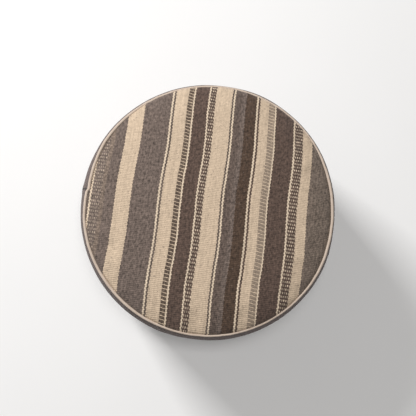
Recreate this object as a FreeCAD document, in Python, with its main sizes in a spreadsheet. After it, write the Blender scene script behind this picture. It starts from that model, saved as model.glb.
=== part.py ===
import FreeCAD, Part
import math
import os
import re
import Sketcher

# A round pouf: a sewn kilim cover over a filled cotton insert, closed by a zip in the base.
# Millimetres, +Z up. The origin is where the pouf's axis meets the floor, and the top's stripes run along Y.

DIMENSIONS = [
    # Cover
    ("pouf_radius", 254.5, "wall at its widest"),
    ("rim_radius", 243.2, "wall just under the piping"),
    ("foot_radius", 243, "wall just above the base corner"),
    ("foot_corner", 8, "radius of the base corner"),
    ("hem_width", 13.5, "side panel turned in under the filling"),
    ("belly_low", 110, "height where the wall reaches its full width"),
    ("belly_high", 296, "height where the wall starts to turn in towards the rim"),
    ("rim_height", 346, "top of the side panel's fold, under the piping"),
    ("pouf_height", 380, "top of the crown"),
    ("crown_edge", 200, "radius where the flat crown turns into the shoulder"),
    ("crown_drop", 17, "fall of the crown from its middle to that radius"),
    ("shoulder", 186, "radius of the shoulder's curve"),
    ("shoulder_end", 240.3, "edge of the top panel, against the piping"),
    ("shoulder_height", 351.3, "height of that edge"),
    ("turn_height", 350.5, "inside of the top panel where it turns down into the seam"),
    ("kilim", 2.5, "thickness of the kilim"),
    ("allowance", 10, "cloth turned in along a seam"),
    ("seam_gap", 0.6, "line of the upright seam"),
    ("seam_angle", 177.2, "place of the upright seam, in degrees from +X"),
    # Piping
    ("welt_radius", 2.8, "piping, over its cloth"),
    ("welt_cloth", 0.8, "thickness of the piping's cloth"),
    ("welt_offset", 0.3, "piping's middle outside the rim"),
    ("cord_play", 0.05, "cord's clearance in its cloth"),
    # Base
    ("base_radius", 237, "base panel"),
    ("canvas", 1.5, "thickness of the base canvas"),
    ("valley_depth", 8, "height of the zip's valley over the floor"),
    ("valley_flat", 17, "half width of the valley's roof"),
    ("valley_wide", 32, "half width of the valley at the floor"),
    ("valley_full", 196, "half length of the valley at its full depth"),
    ("valley_end", 218, "half length of the valley where it runs out"),
    ("panel_split", 0.15, "half the gap between the base halves"),
    ("window_half", 6.5, "half width of the slot that the zip shows through"),
    ("window_end", 180, "half length of that slot"),
    # Zip
    ("tape_inner", 1.6, "tape's edge, from the zip's line"),
    ("tape_outer", 16, "tape's other edge"),
    ("tape_end", 186, "half length of the tapes"),
    ("tape", 0.6, "thickness of the tapes"),
    ("tooth_tip", 0.7, "tooth's tip, from the zip's line"),
    ("tooth_back", 3.4, "tooth's back"),
    ("tooth_half", 1.3, "half the thickness of a tooth"),
    ("tooth_width", 1.5, "tooth along the zip"),
    ("tooth_pitch", 3.2, "from one tooth to the next"),
    ("tooth_count", 106, "teeth on each tape"),
    ("stop_back", 3.8, "stop's back, from the zip's line"),
    ("stop_half", 1.5, "half the thickness of a stop"),
    ("stop_width", 4, "stop along the zip"),
    ("stop_place", 173, "inner face of the stops, from the middle of the zip"),
    ("slider_place", 166.5, "middle of the slider with the zip closed"),
    ("slider_half", 6, "half the slider's length"),
    ("slider_side", 5.2, "half the slider's width"),
    ("slider_lip", 3.7, "inner face of the slider's lips"),
    ("slider_plate", 1.1, "thickness of the slider's plates"),
    ("slider_room", 0.3, "slider's clearance over the teeth and the tape"),
    ("post_half", 0.4, "half the width of the post between the plates"),
    ("post_near", 2.2, "near face of the post, from the slider's middle"),
    ("post_far", 5, "far face of the post"),
    ("bridge_half", 1.3, "half the width of the bridge that holds the tab"),
    ("bridge_foot", 4, "outer face of the bridge's legs, from the slider's middle"),
    ("bridge_leg", 1.2, "thickness of the legs"),
    ("bridge_drop", 3.2, "depth of the bridge under the slider"),
    ("bridge_bar", 1, "thickness of the bridge's bar"),
    ("pin_drop", 1.1, "tab's axis under the slider"),
    ("pin_radius", 0.8, "tab's cross bar"),
    ("tab_half", 3.6, "half the tab's width"),
    ("tab_plate", 1.4, "thickness of the tab"),
    ("tab_length", 26, "tab, from its axis to its tip"),
    ("tab_window_half", 1.7, "half the width of the tab's window"),
    ("tab_window_end", 6.5, "far edge of the window, from the axis"),
    ("tab_hole", 1.5, "radius of the hole near the tip"),
    # Insert
    ("insert_gap", 0.3, "insert's clearance under the cover"),
    ("liner", 0.8, "thickness of the cotton liner"),
    ("liner_floor", 219, "flat bottom of the insert"),
    ("liner_corner", 23.2, "bottom corner of the insert"),
    ("liner_foot_wall", 242.2, "insert's wall where it leaves its bottom corner"),
    ("liner_top_wall", 246.6, "insert's wall where it turns into its shoulder"),
    ("liner_bulge", 6.9, "insert's wall, further out half way up"),
    ("liner_turn", 292, "height where the insert's wall turns into its shoulder"),
    ("liner_shoulder", 74, "radius of the insert's shoulder"),
    ("liner_edge", 203, "radius where that shoulder ends"),
    ("liner_edge_height", 359.4, "height of that edge"),
    ("liner_top_height", 377, "top of the insert"),
    ("liner_valley", 13.2, "height of the insert over the zip"),
    ("valley_ease", 4, "insert's valley, wider than the cover's"),
    ("layer_gap", 0.2, "between the layers of the filling"),
    ("foam_radius", 228, "foam block"),
    ("foam_chamfer", 14, "cut-off bottom edge of the foam"),
    ("foam_joint", 255, "where the soft foam lies on the firm foam"),
    ("foam_top", 325, "top of the soft foam"),
    ("foam_corner", 18, "rounded top edge of the soft foam"),
]
NAMES = {name for name, size, meaning in DIMENSIONS}

doc = FreeCAD.newDocument("kilim_pouf")
sheet = doc.addObject("Spreadsheet::Sheet", "dims")
for row, (name, size, meaning) in enumerate(DIMENSIONS, start=1):
    sheet.set(f"A{row}", meaning)
    sheet.set(f"B{row}", str(size))
    sheet.setAlias(f"B{row}", name)
doc.recompute()


def bound(text):
    """An expression on dimension names, with each name pointed at its cell of the sheet."""
    return re.sub(r"[a-z_]+", lambda word: "dims." + word[0] if word[0] in NAMES else word[0], text)


def worth(text):
    """The value of such an expression."""
    return float(sheet.evalExpression(bound(text)))


def constrain(sketch, constraint, text):
    index = sketch.addConstraint(constraint)
    sketch.setExpression(f"Constraints[{index}]", bound(text))


def arc_between(start, end, radius):
    """The short arc between two points, anticlockwise for a plus radius and clockwise for a minus one."""
    chord = end - start
    left = FreeCAD.Vector(-chord.y, chord.x, 0).normalize()
    depth = math.sqrt(radius ** 2 - (chord.Length / 2) ** 2)
    middle = (start + end) / 2 + left * math.copysign(depth, radius)
    first, last = (start, end) if radius > 0 else (end, start)
    angles = [math.atan2(point.y - middle.y, point.x - middle.x) for point in (first, last)]
    circle = Part.Circle(middle, FreeCAD.Vector(0, 0, 1), abs(radius))
    return Part.ArcOfCircle(circle, angles[0], angles[1])


def draw_loop(sketch, corners):
    """A closed line through the corners, anticlockwise. A corner is (across, up), or (across, up, radius) where
    the side after it is an arc, bowed outwards for a plus radius and inwards for a minus one."""
    points = [FreeCAD.Vector(worth(corner[0]), worth(corner[1]), 0) for corner in corners]
    sides = []
    for index, corner in enumerate(corners):
        start = points[index]
        end = points[(index + 1) % len(points)]
        if len(corner) == 2:
            sides.append((sketch.addGeometry(Part.LineSegment(start, end)), 1, 2))
        else:
            radius = worth(corner[2])
            side = sketch.addGeometry(arc_between(start, end, radius))
            sides.append((side, 1, 2) if radius > 0 else (side, 2, 1))
            constrain(sketch, Sketcher.Constraint("Radius", side, abs(radius)), f"abs({corner[2]})")
    for index, (side, first, last) in enumerate(sides):
        before, ignored, tail = sides[index - 1]
        sketch.addConstraint(Sketcher.Constraint("Coincident", before, tail, side, first))
        across = Sketcher.Constraint("DistanceX", -1, 1, side, first, points[index].x)
        up = Sketcher.Constraint("DistanceY", -1, 1, side, first, points[index].y)
        constrain(sketch, across, corners[index][0])
        constrain(sketch, up, corners[index][1])


def new_sketch(body, name, plane, offset="0"):
    sketch = body.newObject("Sketcher::SketchObject", name)
    support = [item for item in body.Origin.OriginFeatures if item.Role == plane][0]
    sketch.AttachmentSupport = [(support, "")]
    sketch.MapMode = "FlatFace"
    sketch.setExpression("AttachmentOffset.Base.z", bound(offset))
    return sketch


def new_body(name):
    return doc.addObject("PartDesign::Body", name)


def turned(name, corners, angle="360"):
    """A body turned about the pouf's axis from an outline in radius and height."""
    body = new_body(name)
    sketch = new_sketch(body, name + "_outline", "XZ_Plane")
    draw_loop(sketch, corners)
    turn = body.newObject("PartDesign::Revolution", name + "_turn")
    turn.Profile = sketch
    turn.ReferenceAxis = (sketch, ["V_Axis"])
    turn.setExpression("Angle", bound(angle))
    return body


def padded(body, name, plane, loops, length, offset="0", midplane=False):
    """A pad of one or more loops, added to a body."""
    sketch = new_sketch(body, name + "_outline", plane, offset)
    for corners in loops:
        draw_loop(sketch, corners)
    pad = body.newObject("PartDesign::Pad", name)
    pad.Profile = sketch
    pad.setExpression("Length", bound(length))
    pad.Midplane = midplane
    return pad


def mirrored(body, feature, plane):
    mirror = body.newObject("PartDesign::Mirrored", body.Name + "_mirror")
    mirror.Originals = [feature]
    mirror.MirrorPlane = ([item for item in body.Origin.OriginFeatures if item.Role == plane][0], [""])
    body.Tip = mirror
    return mirror


def boolean(kind, name, base, tool):
    result = doc.addObject("Part::" + kind, name)
    result.Base = base
    result.Tool = tool
    return result


def turn_to_front(thing):
    """The front half of the base is the rear half turned half way round."""
    thing.Placement = FreeCAD.Placement(FreeCAD.Vector(), FreeCAD.Rotation(FreeCAD.Vector(0, 0, 1), 180))


nodes = []

# Cover: the wall is upright between two arcs, and the top is one flat crown arc that runs into a tighter shoulder.

WALL_FOOT = "(canvas + foot_corner)"
FOOT_FLARE = "(pouf_radius - foot_radius)"
RIM_FLARE = "(pouf_radius - rim_radius)"
LOWER_RADIUS = f"((belly_low - {WALL_FOOT})^2 + {FOOT_FLARE}^2) / (2 * {FOOT_FLARE})"
UPPER_RADIUS = f"((rim_height - belly_high)^2 + {RIM_FLARE}^2) / (2 * {RIM_FLARE})"
CROWN_RADIUS = "((crown_edge^2 + crown_drop^2) / (2 * crown_drop))"
CROWN_EDGE_HEIGHT = "(pouf_height - crown_drop)"
SEAM_FOOT = "(rim_height - allowance)"
FOLD_INNER = (f"pouf_radius - {UPPER_RADIUS} + "
              f"sqrt(({UPPER_RADIUS} - kilim)^2 - ({SEAM_FOOT} - belly_high)^2)")
FLANGE_INNER = "(rim_radius - 2 * kilim - welt_cloth)"
FLANGE_TOP = "(rim_height + welt_cloth)"

side_panel = turned("side_panel", [
    ("foot_radius - hem_width", "canvas"),
    ("foot_radius - foot_corner", "canvas", "foot_corner"),
    ("foot_radius", WALL_FOOT, LOWER_RADIUS),
    ("pouf_radius", "belly_low"),
    ("pouf_radius", "belly_high", UPPER_RADIUS),
    ("rim_radius", "rim_height"),
    ("rim_radius - 2 * kilim", "rim_height"),
    ("rim_radius - 2 * kilim", SEAM_FOOT),
    (FOLD_INNER, SEAM_FOOT, f"-({UPPER_RADIUS} - kilim)"),
    ("pouf_radius - kilim", "belly_high"),
    ("pouf_radius - kilim", "belly_low", f"-({LOWER_RADIUS} - kilim)"),
    ("foot_radius - kilim", WALL_FOOT, "-(foot_corner - kilim)"),
    ("foot_radius - foot_corner", "canvas + kilim"),
    ("foot_radius - hem_width", "canvas + kilim"),
], "360 - seam_gap / pouf_radius * 180 / pi")
side_panel.Placement = FreeCAD.Placement(
    FreeCAD.Vector(), FreeCAD.Rotation(FreeCAD.Vector(0, 0, 1), worth("seam_angle")))
nodes.append(side_panel)

nodes.append(turned("top_panel", [
    ("0", "pouf_height - kilim", f"-({CROWN_RADIUS} - kilim)"),
    (f"crown_edge * (1 - kilim / {CROWN_RADIUS})",
     f"{CROWN_EDGE_HEIGHT} - kilim * (1 - crown_drop / {CROWN_RADIUS})", "-(shoulder - kilim)"),
    (f"{FLANGE_INNER} - kilim", "turn_height"),
    (f"{FLANGE_INNER} - kilim", SEAM_FOOT),
    (FLANGE_INNER, SEAM_FOOT),
    (FLANGE_INNER, FLANGE_TOP),
    ("shoulder_end", FLANGE_TOP),
    ("shoulder_end", "shoulder_height", "shoulder"),
    ("crown_edge", CROWN_EDGE_HEIGHT, CROWN_RADIUS),
    ("0", "pouf_height"),
]))

# Piping: a cotton strip wrapped round a cord, its two edges sewn down into the rim seam.

WELT_ACROSS = "(rim_radius + welt_offset)"
WELT_UP = "(rim_height + welt_radius)"
WELT_NECK = "sqrt(welt_radius^2 - (welt_radius - welt_cloth)^2)"
CORD_RADIUS = "(welt_radius - welt_cloth)"
PIPING_SIDES = 16


def round_loop(across, up, radius):
    """A circle as four quarter arcs."""
    return [(f"{across} + {radius}", up, radius), (across, f"{up} + {radius}", radius),
            (f"{across} - {radius}", up, radius), (across, f"{up} - {radius}", radius)]


def piping_corners(radius, first, count):
    """Corners round the piping's middle, so many from a first angle on, a sixteenth of a turn apart. Straight sides
    keep the volume of so thin and long a ring true when it is meshed."""
    angles = [first + 360 / PIPING_SIDES * step for step in range(count)]
    return [(f"{WELT_ACROSS} + {radius} * cos({angle})", f"{WELT_UP} + {radius} * sin({angle})") for angle in angles]


welt_cover = turned("welt_cover", [
    (FLANGE_INNER, SEAM_FOOT),
    (f"{FLANGE_INNER} + welt_cloth", SEAM_FOOT),
    (f"{FLANGE_INNER} + welt_cloth", "rim_height"),
    *piping_corners("welt_radius", -90, 14),
    (f"{WELT_ACROSS} - {WELT_NECK}", FLANGE_TOP),
    (FLANGE_INNER, FLANGE_TOP),
])
draw_loop(doc.getObject("welt_cover_outline"), piping_corners(CORD_RADIUS, 0, PIPING_SIDES))
nodes.append(welt_cover)
nodes.append(turned("welt_cord", piping_corners(f"({CORD_RADIUS} - cord_play)", 0, PIPING_SIDES)))

# Base: two half rounds, drawn up along the zip into a shallow valley so that the zip stands off the floor.


def valley_sheet(name, inner, floor, roof, flat, wide, thick):
    """Half of a flat sheet with the zip's valley in it, lofted along X through a section at each end, at each place
    where the valley runs out and at each place where it is at its full depth."""
    body = new_body(name)
    sections = []
    stations = [("-pouf_radius", floor), ("-valley_end", floor), ("-valley_full", roof),
                ("valley_full", roof), ("valley_end", floor), ("pouf_radius", floor)]
    for index, (place, ridge) in enumerate(stations):
        sketch = new_sketch(body, f"{name}_section_{index}", "YZ_Plane", place)
        draw_loop(sketch, [
            (inner, ridge), (flat, ridge), (wide, floor), ("pouf_radius", floor),
            ("pouf_radius", f"{floor} + {thick}"), (wide, f"{floor} + {thick}"),
            (flat, f"{ridge} + {thick}"), (inner, f"{ridge} + {thick}")])
        sections.append(sketch)
    loft = body.newObject("PartDesign::AdditiveLoft", name + "_loft")
    loft.Profile = sections[0]
    loft.Sections = sections[1:]
    loft.Ruled = True
    return body, loft


def round_tool(name, radius):
    """A tall cylinder on the pouf's axis, which trims a sheet to its round edge."""
    tool = doc.addObject("Part::Cylinder", name)
    tool.setExpression("Radius", bound(radius))
    tool.setExpression("Height", bound("pouf_height"))
    return tool


def base_panel(name):
    half, loft = valley_sheet(name + "_sheet", "panel_split", "0", "valley_depth",
                              "valley_flat", "valley_wide", "canvas")
    rounded = boolean("Common", name + "_round", half, round_tool(name + "_edge", "base_radius"))
    window = doc.addObject("Part::Box", name + "_window")
    window.setExpression("Length", bound("2 * window_end"))
    window.setExpression("Width", bound("window_half"))
    window.setExpression("Height", bound("2 * valley_depth"))
    window.setExpression("Placement.Base.x", bound("-window_end"))
    return boolean("Cut", name, rounded, window)


rear = base_panel("base_panel_rear")
front = base_panel("base_panel_front")
turn_to_front(front)
nodes += [rear, front]

# Zip: each tooth grips the edge of its tape. The two rows stand apart by the slider's post and its clearance.

TAPE_LOW = "(valley_depth + canvas)"
TAPE_HIGH = "(valley_depth + canvas + tape)"
ZIP_LEVEL = "(valley_depth + canvas + tape / 2)"


def zip_tape(name):
    body = new_body(name)
    padded(body, name + "_strip", "XY_Plane", [[
        ("-tape_end", "tape_inner"), ("tape_end", "tape_inner"),
        ("tape_end", "tape_outer"), ("-tape_end", "tape_outer")]], "tape", TAPE_LOW)
    return body


def gripping_loop(tip, back, half):
    """A block from tip to back, slotted from its back to take the edge of the tape."""
    low, high = f"{ZIP_LEVEL} - {half}", f"{ZIP_LEVEL} + {half}"
    return [(tip, low), (back, low), (back, TAPE_LOW), ("tape_inner", TAPE_LOW),
            ("tape_inner", TAPE_HIGH), (back, TAPE_HIGH), (back, high), (tip, high)]


def zip_teeth(name):
    body = new_body(name)
    first = "-(tooth_count - 1) / 2 * tooth_pitch - tooth_width / 2"
    tooth = padded(body, name + "_tooth", "YZ_Plane",
                   [gripping_loop("tooth_tip", "tooth_back", "tooth_half")], "tooth_width", first)
    row = body.newObject("PartDesign::LinearPattern", name + "_row")
    row.Originals = [tooth]
    row.Direction = (doc.getObject(name + "_tooth_outline"), ["N_Axis"])
    row.setExpression("Occurrences", bound("tooth_count"))
    row.setExpression("Length", bound("(tooth_count - 1) * tooth_pitch"))
    body.Tip = row
    return body


for make, name in ((zip_tape, "zip_tape"), (zip_teeth, "zip_teeth")):
    rear = make(name + "_rear")
    front = make(name + "_front")
    turn_to_front(front)
    nodes += [rear, front]
doc.getObject("zip_teeth_front").Placement.Base.x = worth("tooth_pitch / 2")

zip_top_stops = new_body("zip_top_stops")
top_stop = padded(zip_top_stops, "zip_top_stop", "YZ_Plane",
                  [gripping_loop("tooth_tip", "stop_back", "stop_half")], "stop_width", "stop_place")
mirrored(zip_top_stops, top_stop, "XZ_Plane")
zip_bottom_stop = new_body("zip_bottom_stop")
bottom_stop = padded(zip_bottom_stop, "zip_bottom_stop_half", "YZ_Plane",
                     [gripping_loop("0", "stop_back", "stop_half")], "stop_width", "-stop_place - stop_width")
mirrored(zip_bottom_stop, bottom_stop, "XZ_Plane")
nodes += [zip_top_stops, zip_bottom_stop]

# Slider: two lipped plates joined by a post, with a bridge under the lower plate for the tab.

CHAIN_HALF = "(tooth_half + slider_room)"
LOW_PLATE = f"({ZIP_LEVEL} - {CHAIN_HALF} - slider_plate)"
HIGH_PLATE = f"({ZIP_LEVEL} + {CHAIN_HALF} + slider_plate)"
LIP_HALF = "(tape / 2 + slider_room)"
SLIDER_START = "slider_place - slider_half"

zip_slider = new_body("zip_slider")
padded(zip_slider, "slider_low_plate", "YZ_Plane", [[
    ("-slider_side", LOW_PLATE), ("slider_side", LOW_PLATE),
    ("slider_side", f"{ZIP_LEVEL} - {LIP_HALF}"), ("slider_lip", f"{ZIP_LEVEL} - {LIP_HALF}"),
    ("slider_lip", f"{ZIP_LEVEL} - {CHAIN_HALF}"), ("-slider_lip", f"{ZIP_LEVEL} - {CHAIN_HALF}"),
    ("-slider_lip", f"{ZIP_LEVEL} - {LIP_HALF}"), ("-slider_side", f"{ZIP_LEVEL} - {LIP_HALF}"),
]], "2 * slider_half", SLIDER_START)
padded(zip_slider, "slider_post", "XY_Plane", [[
    ("slider_place + post_near", "-post_half"), ("slider_place + post_far", "-post_half"),
    ("slider_place + post_far", "post_half"), ("slider_place + post_near", "post_half"),
]], f"2 * {CHAIN_HALF}", f"{ZIP_LEVEL} - {CHAIN_HALF}")
padded(zip_slider, "slider_high_plate", "YZ_Plane", [[
    ("-slider_side", f"{ZIP_LEVEL} + {LIP_HALF}"), ("-slider_lip", f"{ZIP_LEVEL} + {LIP_HALF}"),
    ("-slider_lip", f"{ZIP_LEVEL} + {CHAIN_HALF}"), ("slider_lip", f"{ZIP_LEVEL} + {CHAIN_HALF}"),
    ("slider_lip", f"{ZIP_LEVEL} + {LIP_HALF}"), ("slider_side", f"{ZIP_LEVEL} + {LIP_HALF}"),
    ("slider_side", HIGH_PLATE), ("-slider_side", HIGH_PLATE),
]], "2 * slider_half", SLIDER_START)
padded(zip_slider, "slider_bridge", "XZ_Plane", [[
    ("slider_place - bridge_foot", f"{LOW_PLATE} - bridge_drop"),
    ("slider_place + bridge_foot", f"{LOW_PLATE} - bridge_drop"),
    ("slider_place + bridge_foot", LOW_PLATE),
    ("slider_place + bridge_foot - bridge_leg", LOW_PLATE),
    ("slider_place + bridge_foot - bridge_leg", f"{LOW_PLATE} - bridge_drop + bridge_bar"),
    ("slider_place - bridge_foot + bridge_leg", f"{LOW_PLATE} - bridge_drop + bridge_bar"),
    ("slider_place - bridge_foot + bridge_leg", LOW_PLATE),
    ("slider_place - bridge_foot", LOW_PLATE),
]], "2 * bridge_half", "0", True)
nodes.append(zip_slider)

# Tab: a flat pull with a window for the bridge and a round cross bar that turns under it.

PIN_LEVEL = f"({LOW_PLATE} - pin_drop)"
TAB_TIP = "(slider_place - tab_length)"

zip_pull_tab = new_body("zip_pull_tab")
padded(zip_pull_tab, "tab_blade", "XY_Plane", [
    [(f"{TAB_TIP} + tab_half", "-tab_half"), ("slider_place", "-tab_half"),
     ("slider_place", "tab_half"), (f"{TAB_TIP} + tab_half", "tab_half", "tab_half"),
     (TAB_TIP, "0", "tab_half")],
    [("slider_place - tab_window_end", "-tab_window_half"), ("slider_place - pin_radius", "-tab_window_half"),
     ("slider_place - pin_radius", "tab_window_half"), ("slider_place - tab_window_end", "tab_window_half")],
    round_loop(f"({TAB_TIP} + tab_half)", "0", "tab_hole"),
], "tab_plate", f"{PIN_LEVEL} - tab_plate / 2")
padded(zip_pull_tab, "tab_cross_bar", "XZ_Plane",
       [round_loop("slider_place", PIN_LEVEL, "pin_radius")], "2 * tab_half", "0", True)
nodes.append(zip_pull_tab)

# Insert: a cotton bag in three pieces, filled with two foams and wadding.

LINER_LOW = "(canvas + insert_gap)"
LINER_START = f"({LINER_LOW} + liner_corner)"
LINER_WALL_RADIUS = f"((((liner_turn - {LINER_START}) / 2)^2 + liner_bulge^2) / (2 * liner_bulge))"
LINER_RISE = "(liner_top_height - liner_edge_height)"
LINER_CROWN_RADIUS = f"((liner_edge^2 + {LINER_RISE}^2) / (2 * {LINER_RISE}))"
PAD_FOOT_WALL = "(liner_foot_wall - liner - layer_gap)"
PAD_TOP_WALL = "(liner_top_wall - liner - layer_gap)"
PAD_FLOOR = f"({LINER_LOW} + liner + layer_gap)"
PAD_TOP = "(liner_top_height - liner - layer_gap)"
PAD_EDGE = "(liner_edge - layer_gap)"
PAD_EDGE_HEIGHT = "(liner_edge_height - liner - 2 * layer_gap)"
PAD_RISE = f"({PAD_TOP} - {PAD_EDGE_HEIGHT})"
PAD_CROWN_RADIUS = f"(({PAD_EDGE}^2 + {PAD_RISE}^2) / (2 * {PAD_RISE}))"

nodes.append(turned("liner_side", [
    ("liner_floor", LINER_LOW, "liner_corner"),
    ("liner_foot_wall", LINER_START, LINER_WALL_RADIUS),
    ("liner_top_wall", "liner_turn"),
    ("liner_top_wall - liner", "liner_turn", "-" + LINER_WALL_RADIUS),
    ("liner_foot_wall - liner", LINER_START, "-(liner_corner - liner)"),
    ("liner_floor", f"{LINER_LOW} + liner"),
]))
nodes.append(turned("liner_top", [
    ("liner_top_wall - liner", "liner_turn"),
    ("liner_top_wall", "liner_turn", "liner_shoulder"),
    ("liner_edge", "liner_edge_height", LINER_CROWN_RADIUS),
    ("0", "liner_top_height"),
    ("0", "liner_top_height - liner", "-" + LINER_CROWN_RADIUS),
    ("liner_edge", "liner_edge_height - liner", "-liner_shoulder"),
]))
bottom, bottom_loft = valley_sheet("liner_base_sheet", "0", LINER_LOW, "liner_valley",
                                   "valley_flat + valley_ease", "valley_wide + valley_ease", "liner")
mirrored(bottom, bottom_loft, "XZ_Plane")
nodes.append(boolean("Common", "liner_base", bottom, round_tool("liner_base_edge", "liner_floor")))

foam_block = turned("foam_block", [
    ("0", PAD_FLOOR), ("foam_radius - foam_chamfer", PAD_FLOOR), ("foam_radius", f"{PAD_FLOOR} + foam_chamfer"),
    ("foam_radius", "foam_joint"), ("0", "foam_joint")])
groove, groove_loft = valley_sheet("foam_groove", "0", f"{PAD_FLOOR} - liner_valley",
                                   "layer_gap + liner", "valley_flat + valley_ease",
                                   "valley_wide + valley_ease", "liner_valley")
mirrored(groove, groove_loft, "XZ_Plane")
nodes.append(boolean("Cut", "foam_core", foam_block, groove))
nodes.append(turned("foam_seat", [
    ("0", "foam_joint"), ("foam_radius", "foam_joint"),
    ("foam_radius", "foam_top - foam_corner", "foam_corner"),
    ("foam_radius - foam_corner", "foam_top"), ("0", "foam_top")]))
nodes.append(turned("wadding_wrap", [
    ("foam_radius + layer_gap", LINER_START),
    (PAD_FOOT_WALL, LINER_START, LINER_WALL_RADIUS),
    (PAD_TOP_WALL, "liner_turn - layer_gap"),
    ("foam_radius + layer_gap", "liner_turn - layer_gap"),
]))
nodes.append(turned("wadding_crown", [
    ("0", "foam_top + layer_gap"),
    ("foam_radius - foam_corner", "foam_top + layer_gap", "-(foam_corner + layer_gap)"),
    ("foam_radius + layer_gap", "foam_top - foam_corner"),
    ("foam_radius + layer_gap", "liner_turn"),
    (PAD_TOP_WALL, "liner_turn", "liner_shoulder"),
    (PAD_EDGE, PAD_EDGE_HEIGHT, PAD_CROWN_RADIUS),
    ("0", PAD_TOP),
]))

doc.recompute()

failed = [item.Name for item in doc.Objects if {"Invalid", "Error"} & set(item.State)]
if failed:
    raise RuntimeError("failed objects: " + ", ".join(failed))
for node in nodes:
    if node.Shape.isNull() or not node.Shape.isValid() or not node.Shape.Solids:
        raise RuntimeError("bad shape: " + node.Label)

os.makedirs("parts", exist_ok=True)
for node in nodes:
    node.Shape.exportStep(os.path.join("parts", node.Label + ".step"))
    print(node.Label, len(node.Shape.Solids), "solids", round(node.Shape.Volume / 1000, 2), "cm3")
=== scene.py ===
import math

import bpy
from mathutils import Matrix, Vector, noise


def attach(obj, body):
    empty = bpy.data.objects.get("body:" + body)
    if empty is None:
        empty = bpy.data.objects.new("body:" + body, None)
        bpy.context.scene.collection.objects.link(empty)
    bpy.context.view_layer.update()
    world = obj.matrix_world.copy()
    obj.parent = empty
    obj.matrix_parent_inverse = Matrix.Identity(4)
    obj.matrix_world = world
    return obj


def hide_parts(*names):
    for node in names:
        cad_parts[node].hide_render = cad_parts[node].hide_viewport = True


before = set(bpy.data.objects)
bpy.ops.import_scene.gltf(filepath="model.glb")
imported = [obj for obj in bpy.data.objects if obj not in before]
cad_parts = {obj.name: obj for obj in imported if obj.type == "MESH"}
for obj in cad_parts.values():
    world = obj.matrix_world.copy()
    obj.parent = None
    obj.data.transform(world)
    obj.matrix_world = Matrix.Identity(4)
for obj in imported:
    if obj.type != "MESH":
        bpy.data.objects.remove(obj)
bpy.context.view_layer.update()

# A kilim pouf: striped top, plain wall, piped rim, canvas base with a zip, and a filled insert.
# Metres in the pouf's own frame. Sizes that belong to the weave and the sewing are in millimetres.

MM = 0.001
RIM_HEIGHT = 0.346
PIPING_ACROSS = 0.2435
PIPING_UP = 0.3488
PIPING_RADIUS = 0.0028
WALL_MM = 254.5
WALL_FOOT = (0.2428, 0.0095)       # radius and height of the wall's points, before it is blown up
WALL_LOW = (0.2520, 0.110)
WALL_HIGH = (0.2520, 0.296)
WALL_RIM = (0.2428, 0.3455)
UPRIGHT_STEP = 0.0093
WALL_CUT = 0.3472
FOOT_CUT = 0.0026
PANEL_CUT = 0.3486
KILIM_THICK = 0.0022
CANVAS_THICK = 0.0014
LINER_THICK = 0.0008
TAPE_THICK = 0.0005
LAP_BEHIND = 0.0058
LAP_AHEAD = 0.0032
FLAT_DEPTH = 0.0032
FLAT_DEGREES = 7
SEAM_RIDGE = 0.0011
SEAM_ALLOWANCE = 0.014
FAR_OVER = 0.0030                  # how far the top panel rolls out over the piping
TIGHT_OVER = 0.0012
BLOW_FRAMES = 20
BLOW_MOST = 0.003
VOXEL = 0.005
BASE_RADIUS = 0.237
SLOT_HALF_LENGTH = 0.18
SLOT_HALF_WIDTH = 0.0065
TAPE_HALF_LENGTH = 0.186
TAPE_WIDTH = 0.01425
TAPE_INNER = 0.00165
TAPE_UP = 0.01005
FOAM_RADIUS = 0.2278
FOAM_JOIN = 0.2548
WRAP_INNER = 0.2284
SEAM_DEGREES = 177.2
SEAM_ANGLE = math.radians(SEAM_DEGREES)


def linear(text):
    """An sRGB hex colour as linear red, green, blue and alpha."""
    shares = [int(text[i:i + 2], 16) / 255 for i in (0, 2, 4)]
    return tuple(s / 12.92 if s <= 0.04045 else ((s + 0.055) / 1.055) ** 2.4 for s in shares) + (1.0,)


def add(tree, kind, sockets=(), out=0, **settings):
    """Adds a node, sets or links its sockets, and returns the output that is wanted of it."""
    node = tree.nodes.new("ShaderNode" + kind)
    for name, value in settings.items():
        setattr(node, name, value)
    for socket, value in (sockets.items() if isinstance(sockets, dict) else enumerate(sockets)):
        if isinstance(value, bpy.types.NodeSocket):
            tree.links.new(value, node.inputs[socket])
        elif value is not None:
            node.inputs[socket].default_value = value
    return node.outputs[out] if node.outputs else None


def new_material(name):
    """An empty material and its node tree."""
    material = bpy.data.materials.new(name)
    material.use_nodes = True
    material.node_tree.nodes.clear()
    return material, material.node_tree


def finish_material(tree, sockets):
    """The surface shader on the material's output."""
    shader = add(tree, "BsdfPrincipled", sockets)
    add(tree, "OutputMaterial", {"Surface": shader})


def millimetres(tree):
    """The place on the piece, in millimetres of the pouf's own frame."""
    return add(tree, "VectorMath", {0: add(tree, "TexCoord", out=3), "Scale": 1 / MM}, operation="SCALE")


def banded(tree, place, bands):
    """Hard-edged bands of colour, each from its start to the next. The first starts before everything."""
    colour = bands[0][1]
    for begin, next_colour in bands[1:]:
        past = add(tree, "Math", (place, begin), operation="GREATER_THAN")
        colour = add(tree, "Mix", {0: past, 6: colour, 7: next_colour}, out=2, data_type="RGBA")
    return colour


# Yarns of the kilim, undyed and naturally dark wool.
YARNS = {
    "cream": linear("cdb79e"),
    "bright cream": linear("dcc8af"),
    "taupe": linear("6f6159"),
    "grey": linear("786a5f"),
    "dark grey": linear("64564e"),
    "tan": linear("8b7a6d"),
    "brown": linear("5b4a41"),
    "deep brown": linear("503f33"),
    "dark line": linear("675a51"),
    "bar": linear("54463c"),
    "pale bar": linear("8c7c6d"),
}

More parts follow.
